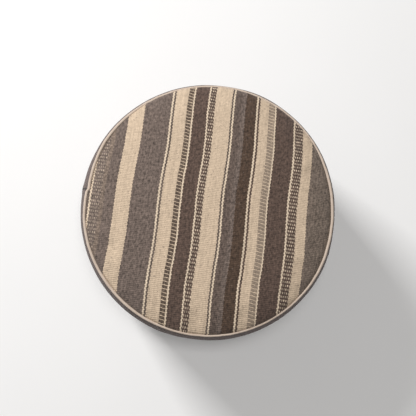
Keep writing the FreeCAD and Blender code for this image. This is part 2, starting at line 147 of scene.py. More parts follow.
# Stripes of the top from left to right: where each starts, in millimetres from the middle, and its ground yarn.
STRIPES = [
    (-250.0, "taupe"), (-238.4, "bright cream"), (-235.0, "taupe"), (-216.1, "tan"), (-208.5, "taupe"),
    (-187.6, "cream"), (-156.5, "taupe"), (-103.6, "bright cream"), (-100.2, "dark line"), (-96.5, "cream"),
    (-60.2, "bright cream"), (-57.2, "brown"), (-29.5, "bright cream"), (-26.7, "brown"), (-14.7, "cream"),
    (18.6, "dark line"), (22.0, "bright cream"), (25.1, "dark grey"), (39.0, "taupe"), (48.4, "deep brown"),
    (70.6, "bright cream"), (74.2, "brown"), (78.0, "cream"), (109.8, "bright cream"), (112.4, "brown"),
    (150.8, "bright cream"), (154.1, "brown"), (170.9, "cream"), (191.0, "grey"),
]
# Figured stripes, by their place: red for dark ladder bars, green for pale bars, blue for cream dots.
FIGURES = [
    (-250.0, (0, 0, 0)), (-235.0, (0, 0, 0.5)), (-216.1, (0.35, 0, 0)), (-208.5, (0, 0, 0)), (-71.0, (1, 0, 0)),
    (-60.2, (0, 0, 0)), (-26.7, (0, 0, 1)), (-14.7, (0, 0, 0)), (96.5, (0, 1, 0)), (109.8, (0, 0, 0)),
    (154.1, (0, 0, 1)), (170.9, (0, 0, 0)),
]
ROW_PITCH = 6.7        # one ladder bar or row of dots, two warps wide
WARP_PITCH = 3.35
DOT_PITCH = 3.967
DOT_HALF_ACROSS = 1.05
DOT_HALF_ALONG = 1.7
BEAD_PITCH = 2.0       # one bead of weft, drawn about twice its real width so that it shows at this distance
# How the top was stretched as it was sewn.
STRIPE_FAN = -1.63e-4  # share by which stripes close up, for each millimetre along
STRIPE_SPREAD = 1.019
STRIPE_SHIFT = -0.9
STRIPE_DRIFT = 1.2
DRIFT_LENGTH = 180
ROW_OPENING = 2.4e-4   # share by which rows open, for each millimetre along
EDGE_SCALLOP = 0.55
BAR_SLANT = 0.03
CLOTH_IOR = 1.45


def kilim_weave(tree, across, along):
    """Height of a weft-faced weave, ribs over the warps crossed by packed weft yarns, and its tone and shade:
    uneven yarn tone and painted shade in the weave's valleys. Across and along are in millimetres. The wefts run
    along."""
    rib = add(tree, "Math", (along, math.tau / WARP_PITCH), operation="MULTIPLY")
    rib = add(tree, "Math", (rib,), operation="SINE")
    rib = add(tree, "Math", (rib, 0.5, 0.5), operation="MULTIPLY_ADD")
    # Beads of weft sit half a yarn over from one warp to the next.
    turn = add(tree, "Math", (along, 1 / WARP_PITCH), operation="MULTIPLY")
    turn = add(tree, "Math", (turn,), operation="FLOOR")
    yarn = add(tree, "Math", (turn, math.pi), operation="MULTIPLY")
    yarn = add(tree, "Math", (across, math.tau / BEAD_PITCH, yarn), operation="MULTIPLY_ADD")
    yarn = add(tree, "Math", (yarn,), operation="SINE")
    yarn = add(tree, "Math", (yarn, 0.5, 0.5), operation="MULTIPLY_ADD")
    height = add(tree, "Math", (yarn, 0.45, rib), operation="MULTIPLY_ADD")
    # Uneven handspun yarn: long streaks along the weft, and soft patches.
    streak_place = add(tree, "CombineXYZ", (add(tree, "Math", (across, 0.23), operation="MULTIPLY"),
                                            add(tree, "Math", (along, 0.006), operation="MULTIPLY"), 0.0))
    streak = add(tree, "TexNoise", {"Vector": streak_place, "Scale": 1.0, "Detail": 3.0, "Roughness": 0.6})
    patch_place = add(tree, "CombineXYZ", (across, along, 0.0))
    patch = add(tree, "TexNoise", {"Vector": patch_place, "Scale": 1 / 11, "Detail": 4.0, "Roughness": 0.65})
    tone_and_shade = add(tree, "Math", (streak, 0.50, 0.54), operation="MULTIPLY_ADD")
    tone_and_shade = add(tree, "Math", (patch, 0.38, tone_and_shade), operation="MULTIPLY_ADD")
    # Painted shade: the colour darkens in the valleys between ribs and between beads of weft.
    shade = add(tree, "Math", (height, 0.10, -0.075), operation="MULTIPLY_ADD")
    tone_and_shade = add(tree, "Math", (tone_and_shade, shade), operation="ADD")
    return height, tone_and_shade


def striped_kilim():
    """Handwoven wool kilim: matte, weft-faced, with twined lines, ladder bars and dots between plain stripes."""
    material, tree = new_material("striped_wool_kilim")
    place = millimetres(tree)
    split = add(tree, "SeparateXYZ", (place,)).node
    x, y = split.outputs[0], split.outputs[1]
    # Stretched as it was sewn: stripes close up to one side and drift a little, and rows open to the other side.
    fan = add(tree, "Math", (y, STRIPE_FAN, 1.0), operation="MULTIPLY_ADD")
    across = add(tree, "Math", (x, fan), operation="DIVIDE")
    across = add(tree, "Math", (across, STRIPE_SPREAD, STRIPE_SHIFT), operation="MULTIPLY_ADD")
    drift = add(tree, "Math", (y, math.tau / DRIFT_LENGTH, 0.7), operation="MULTIPLY_ADD")
    drift = add(tree, "Math", (drift,), operation="SINE")
    across = add(tree, "Math", (drift, STRIPE_DRIFT, across), operation="MULTIPLY_ADD")
    along = add(tree, "Math", (y, ROW_OPENING, 1.0), operation="MULTIPLY_ADD")
    along = add(tree, "Math", (y, along), operation="MULTIPLY")
    wander = add(tree, "TexNoise", {"Vector": place, "Scale": 1 / 28, "Detail": 2.0})
    wander = add(tree, "Math", (wander, 2.4, -1.2), operation="MULTIPLY_ADD")
    across = add(tree, "Math", (across, wander), operation="ADD")
    # Each pair of warps pushes a stripe's edge out and in, so edges are scalloped.
    row = add(tree, "Math", (along, 1 / ROW_PITCH), operation="MULTIPLY")
    scallop = add(tree, "Math", (add(tree, "Math", (row, math.tau), operation="MULTIPLY"),), operation="SINE")
    edge_place = add(tree, "Math", (scallop, EDGE_SCALLOP, across), operation="MULTIPLY_ADD")
    ground = banded(tree, edge_place, [(begin, YARNS[yarn]) for begin, yarn in STRIPES])
    figure = banded(tree, across, [(begin, kind + (1.0,)) for begin, kind in FIGURES])
    kinds = add(tree, "SeparateColor", (figure,)).node
    # Ladder bars: a little over half of each row, ragged, aslant, and paler where the yarn floats.
    ragged = add(tree, "TexNoise", {"Vector": place, "Scale": 0.33, "Detail": 1.0})
    slant = add(tree, "Math", (across, BAR_SLANT, row), operation="MULTIPLY_ADD")
    bar_place = add(tree, "Math", (ragged, 0.5, slant), operation="MULTIPLY_ADD")
    bar = add(tree, "Math", (bar_place,), operation="FRACT")
    bar = add(tree, "Math", (bar, 0.5), operation="SUBTRACT")
    bar = add(tree, "Math", (bar,), operation="ABSOLUTE")
    bar = add(tree, "MapRange", (bar, 0.36, 0.46, 1.0, 0.0))
    spot = add(tree, "Math", (ragged, 1.1, 0.42), operation="MULTIPLY_ADD", use_clamp=True)
    bar = add(tree, "Math", (bar, spot), operation="MULTIPLY")
    # Dots: small ovals in rows, every other row set over by half a dot, some of them faint.
    odd = add(tree, "Math", (add(tree, "Math", (row,), operation="FLOOR"), 0.5), operation="MULTIPLY")
    odd = add(tree, "Math", (odd,), operation="FRACT")
    cell_across = add(tree, "Math", (across, 1 / DOT_PITCH, odd), operation="MULTIPLY_ADD")
    cell = add(tree, "CombineXYZ", (add(tree, "Math", (cell_across,), operation="FLOOR"),
                                    add(tree, "Math", (row,), operation="FLOOR"), 0.0))
    faint = add(tree, "TexWhiteNoise", (cell,))
    a = add(tree, "Math", (add(tree, "Math", (cell_across,), operation="FRACT"), 0.5), operation="SUBTRACT")
    b = add(tree, "Math", (add(tree, "Math", (row,), operation="FRACT"), 0.5), operation="SUBTRACT")
    a = add(tree, "Math", (a, DOT_PITCH / DOT_HALF_ACROSS), operation="MULTIPLY")
    b = add(tree, "Math", (b, ROW_PITCH / DOT_HALF_ALONG), operation="MULTIPLY")
    dot = add(tree, "VectorMath", (add(tree, "CombineXYZ", (a, b, 0.0)),), out=1, operation="LENGTH")
    dot = add(tree, "MapRange", (dot, 0.75, 1.25, 1.0, 0.0))
    dot = add(tree, "Math", (dot, add(tree, "Math", (faint, 0.75, 0.42), operation="MULTIPLY_ADD")),
              operation="MULTIPLY", use_clamp=True)
    colour = ground
    for kind, strength, yarn in ((0, bar, "bar"), (1, bar, "pale bar"), (2, dot, "bright cream")):
        share = add(tree, "Math", (kinds.outputs[kind], strength), operation="MULTIPLY")
        colour = add(tree, "Mix", {0: share, 6: colour, 7: YARNS[yarn]}, out=2, data_type="RGBA")
    height, tone_and_shade = kilim_weave(tree, across, along)
    # Dark wool is spun from mixed fleece, so it varies more from spot to spot than the cream.
    mixed_place = add(tree, "CombineXYZ", (across, add(tree, "Math", (along, 0.55), operation="MULTIPLY"), 0.0))
    mixed = add(tree, "TexNoise", {"Vector": mixed_place, "Scale": 0.26, "Detail": 2.0, "Roughness": 0.7})
    mixed = add(tree, "Math", (mixed, 2.8, -1.4), operation="MULTIPLY_ADD")
    darkness = add(tree, "MapRange", (add(tree, "RGBToBW", (ground,)), 0.12, 0.4, 1.0, 0.25))
    tone_and_shade = add(tree, "Math", (mixed, darkness, tone_and_shade), operation="MULTIPLY_ADD")
    colour = add(tree, "VectorMath", {0: colour, "Scale": tone_and_shade}, operation="SCALE")
    # A few dark fibres are spun into the yarn.
    fibre = add(tree, "TexNoise", {"Vector": place, "Scale": 0.28, "Detail": 0.0})
    fibre = add(tree, "MapRange", (fibre, 0.74, 0.80, 0.0, 0.55))
    colour = add(tree, "Mix", {0: fibre, 6: colour, 7: YARNS["taupe"]}, out=2, data_type="RGBA")
    bump = add(tree, "Bump", {"Strength": 0.6, "Distance": 0.8 * MM, "Height": height})
    finish_material(tree, {"Base Color": colour, "Roughness": 0.9, "Normal": bump, "IOR": CLOTH_IOR,
                           "Sheen Weight": 0.12, "Sheen Roughness": 0.6, "Specular IOR Level": 0.25})
    return material


def round_the_pouf(tree, radius):
    """Distance round the pouf from the seam, height, and distance from the axis, all in millimetres."""
    place = millimetres(tree)
    from_seam = add(tree, "VectorRotate", {"Vector": place, "Angle": math.pi - SEAM_ANGLE},
                    rotation_type="Z_AXIS")
    split = add(tree, "SeparateXYZ", (from_seam,)).node
    angle = add(tree, "Math", (split.outputs[1], split.outputs[0]), operation="ARCTAN2")
    around = add(tree, "Math", (angle, radius), operation="MULTIPLY")
    flat = add(tree, "CombineXYZ", (split.outputs[0], split.outputs[1], 0.0))
    reach = add(tree, "VectorMath", (flat,), out=1, operation="LENGTH")
    return around, split.outputs[2], reach


def plain_kilim():
    """The same wool weave in one dark taupe, with the tone bands of hand-dyed yarn lying round the wall."""
    material, tree = new_material("plain_wool_kilim")
    around, up, _ = round_the_pouf(tree, WALL_MM)
    height, tone_and_shade = kilim_weave(tree, up, around)
    band = add(tree, "TexNoise", {"W": add(tree, "Math", (up, 1 / 24), operation="MULTIPLY"), "Scale": 1.0,
                                  "Detail": 2.0}, noise_dimensions="1D")
    colour = add(tree, "Mix", {0: band, 6: linear("544744"), 7: linear("776762")}, out=2, data_type="RGBA")
    colour = add(tree, "VectorMath", {0: colour, "Scale": tone_and_shade}, operation="SCALE")
    # Painted shade: the upright seam is darkened to a near-black line, standing in for the shade in the crease
    # where the two edges turn in.
    edge = add(tree, "Math", (around,), operation="ABSOLUTE")
    half_round = WALL_MM * math.pi
    seam = add(tree, "MapRange", (edge, half_round - 2.6, half_round - 0.9, 0.0, 0.85))
    colour = add(tree, "Mix", {0: seam, 6: colour, 7: linear("1f1917")}, out=2, data_type="RGBA")
    bump = add(tree, "Bump", {"Strength": 0.8, "Distance": 0.9 * MM, "Height": height})
    finish_material(tree, {"Base Color": colour, "Roughness": 0.9, "Normal": bump, "IOR": CLOTH_IOR,
                           "Sheen Weight": 0.15, "Sheen Roughness": 0.6, "Specular IOR Level": 0.25})
    return material


def plain_weave(tree, first, second, pitch):
    """Height of an even over-and-under weave of two sets of threads."""
    over = add(tree, "Math", (first, math.pi / pitch), operation="MULTIPLY")
    under = add(tree, "Math", (second, math.pi / pitch), operation="MULTIPLY")
    over = add(tree, "Math", (over,), operation="SINE")
    under = add(tree, "Math", (under,), operation="SINE")
    product = add(tree, "Math", (over, under), operation="MULTIPLY")
    return add(tree, "Math", (product, 0.5, 0.5), operation="MULTIPLY_ADD")


def piping_cotton():
    """Cream cotton cut on the bias and wrapped round the cord: a fine weave that runs slantwise."""
    material, tree = new_material("bias_cut_cotton")
    around, up, reach = round_the_pouf(tree, PIPING_ACROSS / MM)
    rise = add(tree, "Math", (up, PIPING_UP / MM), operation="SUBTRACT")
    out = add(tree, "Math", (reach, PIPING_ACROSS / MM), operation="SUBTRACT")
    girth = add(tree, "Math", (rise, out), operation="ARCTAN2")
    girth = add(tree, "Math", (girth, PIPING_RADIUS / MM), operation="MULTIPLY")
    first = add(tree, "Math", (around, girth), operation="ADD")
    second = add(tree, "Math", (around, girth), operation="SUBTRACT")
    height = plain_weave(tree, first, second, 0.9)
    soil_place = add(tree, "CombineXYZ", (around, girth, 0.0))
    soil = add(tree, "TexNoise", {"Vector": soil_place, "Scale": 1 / 9, "Detail": 4.0})
    colour = add(tree, "Mix", {0: soil, 6: linear("bba694"), 7: linear("d9c9ba")}, out=2, data_type="RGBA")
    # Painted shade: the colour darkens where the weave dips between the threads.
    tone_and_shade = add(tree, "Math", (height, 0.16, 0.9), operation="MULTIPLY_ADD")
    colour = add(tree, "VectorMath", {0: colour, "Scale": tone_and_shade}, operation="SCALE")
    bump = add(tree, "Bump", {"Strength": 0.5, "Distance": 0.3 * MM, "Height": height})
    finish_material(tree, {"Base Color": colour, "Roughness": 0.85, "Normal": bump, "IOR": CLOTH_IOR,
                           "Sheen Weight": 0.1, "Specular IOR Level": 0.3})
    return material


def flat_cloth(name, dark, light, pitch, slant=0.0):
    """A plain or, with a slant, a twilled cloth that lies level: threads across and along the floor."""
    material, tree = new_material(name)
    place = millimetres(tree)
    place_turned = add(tree, "VectorRotate", {"Vector": place, "Angle": slant}, rotation_type="Z_AXIS")
    split = add(tree, "SeparateXYZ", (place_turned,)).node
    height = plain_weave(tree, split.outputs[0], split.outputs[1], pitch)
    slub = add(tree, "TexNoise", {"Vector": place, "Scale": 1 / 14, "Detail": 5.0, "Roughness": 0.7})
    colour = add(tree, "Mix", {0: slub, 6: linear(dark), 7: linear(light)}, out=2, data_type="RGBA")
    # Painted shade: the colour darkens where the weave dips between the threads.
    tone_and_shade = add(tree, "Math", (height, 0.30, 0.82), operation="MULTIPLY_ADD")
    colour = add(tree, "VectorMath", {0: colour, "Scale": tone_and_shade}, operation="SCALE")
    bump = add(tree, "Bump", {"Strength": 0.7, "Distance": 0.4 * MM, "Height": height})
    finish_material(tree, {"Base Color": colour, "Roughness": 0.88, "Normal": bump, "IOR": CLOTH_IOR,
                           "Specular IOR Level": 0.3})
    return material


def grained(name, dark, light, grain, roughness, depth):
    """A matte soft material without threads, such as foam cells or loose fibre, grain millimetres across."""
    material, tree = new_material(name)
    place = millimetres(tree)
    cells = add(tree, "TexVoronoi", {"Vector": place, "Scale": 1 / grain})
    cloud = add(tree, "TexNoise", {"Vector": place, "Scale": 1 / 60, "Detail": 5.0})
    share = add(tree, "Math", (cells, 0.6, add(tree, "Math", (cloud, 0.7), operation="MULTIPLY")),
                operation="MULTIPLY_ADD")
    colour = add(tree, "Mix", {0: share, 6: linear(light), 7: linear(dark)}, out=2, data_type="RGBA")
    bump = add(tree, "Bump", {"Strength": 0.7, "Distance": depth * MM, "Height": cells})
    finish_material(tree, {"Base Color": colour, "Roughness": roughness, "Normal": bump, "IOR": 1.4,
                           "Specular IOR Level": 0.2})
    return material


def brass(name, clean, tarnished, roughness):
    """Pressed zip brass: a warm metal, duller and browner where it isn't rubbed."""
    material, tree = new_material(name)
    place = millimetres(tree)
    tarnish = add(tree, "TexNoise", {"Vector": place, "Scale": 0.35, "Detail": 5.0, "Roughness": 0.7})
    colour = add(tree, "Mix", {0: tarnish, 6: linear(clean), 7: linear(tarnished)}, out=2, data_type="RGBA")
    rough = add(tree, "Math", (tarnish, 0.3, roughness - 0.12), operation="MULTIPLY_ADD")
    scratch = add(tree, "TexNoise", {"Vector": place, "Scale": 3.0, "Detail": 2.0})
    bump = add(tree, "Bump", {"Strength": 0.15, "Distance": 0.1 * MM, "Height": scratch})
    finish_material(tree, {"Base Color": colour, "Metallic": 1.0, "Roughness": rough, "Normal": bump})
    return material


STRIPED = striped_kilim()
PLAIN = plain_kilim()
PIPING = piping_cotton()
CORD = grained("twisted_cotton_cord", "b8a98f", "e6dcc8", 0.9, 0.9, 0.3)
CANVAS = flat_cloth("undyed_cotton_canvas", "9c8b74", "c2b299", 1.3)
TAPE = flat_cloth("twilled_zip_tape", "463b35", "665a52", 0.9, math.radians(45))
LINER = flat_cloth("cotton_sheeting", "d8d0c0", "efe9dd", 1.0)
FIRM_FOAM = grained("firm_cut_foam", "b5ab8a", "d9d2b8", 1.6, 0.95, 0.6)
SOFT_FOAM = grained("soft_cut_foam", "c9c2a8", "e6e1cf", 2.2, 0.95, 0.6)
WADDING = grained("fibre_wadding", "d3d0c8", "f2f0ea", 6.0, 1.0, 2.0)
THREAD = grained("brown_sewing_thread", "70604f", "9c8873", 0.5, 0.8, 0.1)
TEETH_BRASS = brass("pressed_brass_teeth", "c9a863", "7d6236", 0.42)
CAST_BRASS = brass("cast_brass_slider", "c4a25a", "8a6c3c", 0.34)


# Modelling


def start():
    """Nothing selected, in object mode."""
    if bpy.context.object and bpy.context.object.mode != "OBJECT":
        bpy.ops.object.mode_set(mode="OBJECT")
    bpy.ops.object.select_all(action="DESELECT")


def take(obj):
    """That object alone, selected and active."""
    start()
    obj.select_set(True)
    bpy.context.view_layer.objects.active = obj


def apply_modifier(obj, kind, **settings):
    take(obj)
    modifier = obj.modifiers.new(kind.lower(), kind)
    for name, value in settings.items():
        setattr(modifier, name, value)
    bpy.ops.object.modifier_apply(modifier=modifier.name)


def settle(obj, name, material, smooth=True):
    """Names a finished piece, puts its place into its mesh and gives it its material."""
    take(obj)
    bpy.ops.object.transform_apply(location=True, rotation=True, scale=True)
    obj.name = name
    obj.data.name = name
    obj.data.materials.clear()
    obj.data.materials.append(material)
    if smooth:
        bpy.ops.object.shade_smooth_by_angle(angle=math.radians(50))
    return obj


def thicken(obj, depth):
    """Gives a cloth its thickness, on the inner side of its faces."""
    apply_modifier(obj, "SOLIDIFY", thickness=depth, offset=-1.0, use_even_offset=True)


def turned(rings, sides=192, closed=()):
    """A round shell: a circle drawn out ring by ring to each radius and height, its closed ends filled."""
    start()
    radius, height = rings[0]
    bpy.ops.mesh.primitive_circle_add(vertices=sides, radius=radius, location=(0, 0, height),
                                      fill_type="NGON" if "first" in closed else "NOTHING")
    obj = bpy.context.object
    bpy.ops.object.transform_apply(location=True)
    bpy.ops.object.mode_set(mode="EDIT")
    bpy.ops.mesh.select_all(action="SELECT")
    for (radius, height), (next_radius, next_height) in zip(rings, rings[1:]):
        bpy.ops.mesh.extrude_edges_move(TRANSFORM_OT_translate={"value": (0, 0, next_height - height)})
        share = next_radius / radius
        bpy.ops.transform.resize(value=(share, share, 1), center_override=(0, 0, next_height))
    if "last" in closed:
        bpy.ops.mesh.edge_face_add()
    bpy.ops.mesh.select_all(action="SELECT")
    bpy.ops.mesh.normals_make_consistent(inside=False)
    bpy.ops.object.mode_set(mode="OBJECT")
    return obj


def arc(start_point, end_point, bulge, steps):
    """Points of a curve from one (radius, height) to another that bows outwards by bulge in its middle."""
    points = []
    for step in range(steps + 1):
        t = step / steps
        bow = bulge * (1 - (2 * t - 1) ** 2)
        points.append((start_point[0] + (end_point[0] - start_point[0]) * t + bow,
                       start_point[1] + (end_point[1] - start_point[1]) * t))
    return points


def roll(edge, full, steps):
    """Points of an arc from a wall's edge to the point where it stands upright."""
    flare = full[0] - edge[0]
    rise = full[1] - edge[1]
    bend = (flare ** 2 + rise ** 2) / (2 * flare)
    points = []
    for step in range(steps + 1):
        short = rise * (1 - step / steps)
        points.append((full[0] - bend + math.sqrt(bend ** 2 - short ** 2), full[1] - short))
    return points


def crown(edge, edge_height, top, steps, last=0.001):
    """Points of a shallow dome from its edge to its middle."""
    points = []
    for step in range(steps + 1):
        radius = edge + (last - edge) * step / steps
        points.append((radius, edge_height + (top - edge_height) * (1 - (radius / edge) ** 2)))
    return points


def edit_all(obj, operator, **settings):
    """Runs one mesh operator on the whole of a piece."""
    take(obj)
    bpy.ops.object.mode_set(mode="EDIT")
    bpy.ops.mesh.select_all(action="SELECT")
    operator(**settings)
    bpy.ops.object.mode_set(mode="OBJECT")


def select_faces(obj, wanted):
    """Selects the faces whose middle is wanted."""
    take(obj)
    bpy.ops.object.mode_set(mode="EDIT")
    bpy.ops.mesh.select_mode(type="FACE")
    bpy.ops.mesh.select_all(action="DESELECT")
    bpy.ops.object.mode_set(mode="OBJECT")
    for face in obj.data.polygons:
        face.select = wanted(face.center)


def keep_part(obj, height, above):
    """Cuts a mesh level at a height and keeps the part above or below it."""
    edit_all(obj, bpy.ops.mesh.bisect, plane_co=(0, 0, height), plane_no=(0, 0, 1), clear_inner=above,
             clear_outer=not above)


def copied(obj):
    take(obj)
    bpy.ops.object.duplicate()
    return bpy.context.object


def eased(value, low, high):
    """A smooth step from 0 at low to 1 at high."""
    t = min(1.0, max(0.0, (value - low) / (high - low)))
    return t * t * (3 - 2 * t)


def degrees_round(point):
    """Where a point lies round the pouf's axis, from 0 to 360."""
    return math.degrees(math.atan2(point.y, point.x)) % 360


def outward(point):
    """The level direction from the pouf's axis to a point."""
    return Vector((point.x, point.y, 0)).normalized()


def lap_pull(angle):
    """How far the sewn rim lies inside a true circle by the upright seam: most behind the lap, less after it."""
    behind = (SEAM_DEGREES - angle) % 360
    ahead = (angle - SEAM_DEGREES) % 360
    return LAP_BEHIND * max(0.0, 1 - behind / 24) + LAP_AHEAD * max(0.0, 1 - ahead / 16)


def flat_pull(angle):
    """How far the rim and the wall lie inside a true circle at the one place where the pouf is flattened."""
    away = abs((angle - FLAT_DEGREES + 180) % 360 - 180)
    return FLAT_DEPTH * (1 - eased(away, 4, 40))


def far_side(angle):
    """1 along the part of the rim where the top panel rolls out over the piping, and 0 elsewhere."""
    return eased(angle, 15, 45) * (1 - eased(angle, 118, 150))


def tight_side(angle):
    """1 along the part of the rim where the piping is drawn thin, and 0 elsewhere."""
    return eased(angle, 235, 262) * (1 - eased(angle, 312, 345))


def pull_in(obj, lap):
    """Draws a round piece in at the flattened place and, where lap is 1, at the sewn rim by the seam."""
    for vertex in obj.data.vertices:
        outer = eased(math.hypot(vertex.co.x, vertex.co.y), 0.200, 0.2395)
        angle = degrees_round(vertex.co)
        pull = lap * lap_pull(angle) * eased(vertex.co.z, 0.318, 0.343)
        pull += flat_pull(angle) * eased(vertex.co.z, 0.03, 0.12)
        vertex.co -= outward(vertex.co) * pull * outer


# Cover: a closed drum is remeshed, blown up as cloth that is held at its rim and foot, and cut into wall and top.

foot = [(0.2295, 0.0016), (0.2350, 0.0016), (0.2390, 0.0028), (0.2418, 0.0056), WALL_FOOT]
wall = roll(WALL_FOOT, WALL_LOW, 16)
wall += [(WALL_LOW[0], WALL_LOW[1] + UPRIGHT_STEP * step) for step in range(1, 20)]
wall += roll(WALL_RIM, WALL_HIGH, 12)[::-1]
shoulder = [(0.2412, 0.3476), (0.2403, 0.3502), (0.2386, 0.3526), (0.2360, 0.3554), (0.2322, 0.3583),
            (0.2270, 0.3606)]
drum = turned(foot + wall[1:] + shoulder + crown(0.2200, 0.3624, 0.3788, 40)[:-1], 240, ("first", "last"))
apply_modifier(drum, "REMESH", mode="VOXEL", voxel_size=VOXEL, use_smooth_shade=True)
apply_modifier(drum, "SMOOTH", factor=0.5, iterations=6)


def held(point):
    """How firmly the sewing holds a point of the drum: the rim seam and the foot."""
    reach = math.hypot(point.x, point.y)
    rim = max(0.0, 1 - abs(point.z - 0.3485) / 0.006) if reach > 0.236 else 0.0
    return 1.0 if point.z < 0.007 else rim


def blow_up(obj, frames, most):
    """Cloth under inside pressure, its points moved by no more than a cap from where they started."""
    group = obj.vertex_groups.new(name="sewn")
    for vertex in obj.data.vertices:
        group.add([vertex.index], held(vertex.co), "REPLACE")
    before = [vertex.co.copy() for vertex in obj.data.vertices]
    take(obj)
    modifier = obj.modifiers.new("cloth", "CLOTH")
    cloth = modifier.settings
    cloth.quality = 4
    cloth.mass = 0.4
    cloth.tension_stiffness = 60
    cloth.compression_stiffness = 60
    cloth.shear_stiffness = 20
    cloth.bending_stiffness = 3
    cloth.shrink_min = -0.012
    cloth.use_pressure = True
    cloth.uniform_pressure_force = 4
    cloth.vertex_group_mass = "sewn"
    cloth.effector_weights.gravity = 0
    modifier.point_cache.frame_start = 1
    modifier.point_cache.frame_end = frames
    for number in range(1, frames + 1):
        bpy.context.scene.frame_set(number)
    bpy.ops.object.modifier_apply(modifier="cloth")
    bpy.context.scene.frame_set(1)
    for vertex, old in zip(obj.data.vertices, before):
        move = vertex.co - old
        if move.length > most:
            vertex.co = old + move * (most / move.length)
    obj.vertex_groups.clear()


blow_up(drum, BLOW_FRAMES, BLOW_MOST)
apply_modifier(drum, "SMOOTH", factor=0.5, iterations=4)
for vertex in drum.data.vertices:
    # A filled cover is never a true round: slow hollows and swellings of about a millimetre.
    swell = noise.noise(vertex.co * 9.0) * 0.0014 + noise.noise(vertex.co * 26.0) * 0.0005
    vertex.co += vertex.co.normalized() * swell * (1 - held(vertex.co))
pull_in(drum, 1)
for vertex in drum.data.vertices:
    angle = degrees_round(vertex.co)
    over = FAR_OVER * far_side(angle) + TIGHT_OVER * tight_side(angle)
    over *= eased(vertex.co.z, 0.342, 0.352) * (1 - eased(vertex.co.z, 0.354, 0.368))
    vertex.co += outward(vertex.co) * over

side_panel = copied(drum)
keep_part(side_panel, WALL_CUT, False)
keep_part(side_panel, FOOT_CUT, True)
top_panel = drum
keep_part(top_panel, PANEL_CUT, True)

# The allowances of the upright seam stand out a little on both sides of its line.
for vertex in side_panel.data.vertices:
    gap = math.radians(abs(degrees_round(vertex.co) - SEAM_DEGREES)) * math.hypot(vertex.co.x, vertex.co.y)
    vertex.co += outward(vertex.co) * SEAM_RIDGE * max(0.0, 1 - gap / SEAM_ALLOWANCE)
thicken(side_panel, KILIM_THICK)
settle(side_panel, "side_panel_cloth", PLAIN)
thicken(top_panel, KILIM_THICK)
settle(top_panel, "top_panel_cloth", STRIPED)

# Piping: a tube round the rim that steps in where its ends are lapped at the upright seam.


def piping_tube(name, minor, material, rough):
    start()
    bpy.ops.mesh.primitive_torus_add(major_radius=PIPING_ACROSS, minor_radius=minor, major_segments=360,
                                     minor_segments=14, location=(0, 0, PIPING_UP))
    tube = bpy.context.object
    bpy.ops.object.transform_apply(location=True)
    for vertex in tube.data.vertices:
        angle = degrees_round(vertex.co)
        flat = outward(vertex.co)
        waver = noise.noise(flat * 14.0) * 0.0005 + noise.noise(flat * 60.0) * rough
        far = far_side(angle)
        tight = tight_side(angle)
        core = flat * PIPING_ACROSS + Vector((0, 0, PIPING_UP))
        vertex.co = core + (vertex.co - core) * (1 - 0.26 * tight - 0.14 * far)
        vertex.co += flat * (waver - lap_pull(angle) - flat_pull(angle) - 0.0002 * far - 0.0005 * tight)
        vertex.co.z += noise.noise(flat * 21.0 + Vector((5, 0, 0))) * 0.0004 - 0.0012 * far - 0.0006 * tight
    return settle(tube, name, material)


piping = piping_tube("piping_cloth", PIPING_RADIUS, PIPING, 0.0002)
piping_cord = piping_tube("piping_cord_core", PIPING_RADIUS - 0.0009, CORD, 0.0)

# Stitches: brown thread sunk into the top just inside the piping.


def stitches(name, count, reach, height, long, thick):
    """A ring of short stitches, one modelled and the rest spun round the pouf's axis."""
    start()
    bpy.ops.mesh.primitive_cylinder_add(vertices=6, radius=thick, depth=long, location=(reach, 0, height),
                                        rotation=(math.pi / 2, 0, 0), end_fill_type="NGON")
    ring = bpy.context.object
    bpy.ops.object.transform_apply(location=True, rotation=True)
    bpy.ops.object.mode_set(mode="EDIT")
    bpy.ops.mesh.select_all(action="SELECT")
    bpy.ops.mesh.bevel(offset=thick * 0.45, segments=1, affect="EDGES")
    bpy.ops.mesh.select_all(action="SELECT")
    bpy.ops.mesh.spin(steps=count, dupli=True, angle=math.tau, center=(0, 0, 0), axis=(0, 0, 1))
    bpy.ops.object.mode_set(mode="OBJECT")
    for vertex in ring.data.vertices:
        angle = degrees_round(vertex.co)
        vertex.co -= outward(vertex.co) * (lap_pull(angle) + flat_pull(angle))
    return settle(ring, name, THREAD)


rim_stitches = stitches("rim_stitches", 330, 0.2390, 0.3516, 0.0019, 0.0005)

# Base: level cloth, drawn up along the zip.


def ridge(x, y, floor, top, flat, wide):
    """Height of a cloth over the zip's valley."""
    along = min(1.0, max(0.0, (0.218 - abs(x)) / 0.022))
    side = min(1.0, max(0.0, (wide - abs(y)) / (wide - flat)))
    return floor + (top - floor) * along * side


def level_round(radius, low, high, rows, flat, wide, floor, top):
    """A grid drawn into a round from one y to another, with the zip's valley in it."""
    start()
    bpy.ops.mesh.primitive_grid_add(x_subdivisions=96, y_subdivisions=rows, size=2)
    cloth = bpy.context.object
    for vertex in cloth.data.vertices:
        y = low + (high - low) * (vertex.co.y + 1) / 2
        half = math.sqrt(max(radius ** 2 - y ** 2, 1e-7))
        x = vertex.co.x * half
        vertex.co = (x, y, ridge(x, y, floor, top, flat, wide))
    take(cloth)
    return cloth


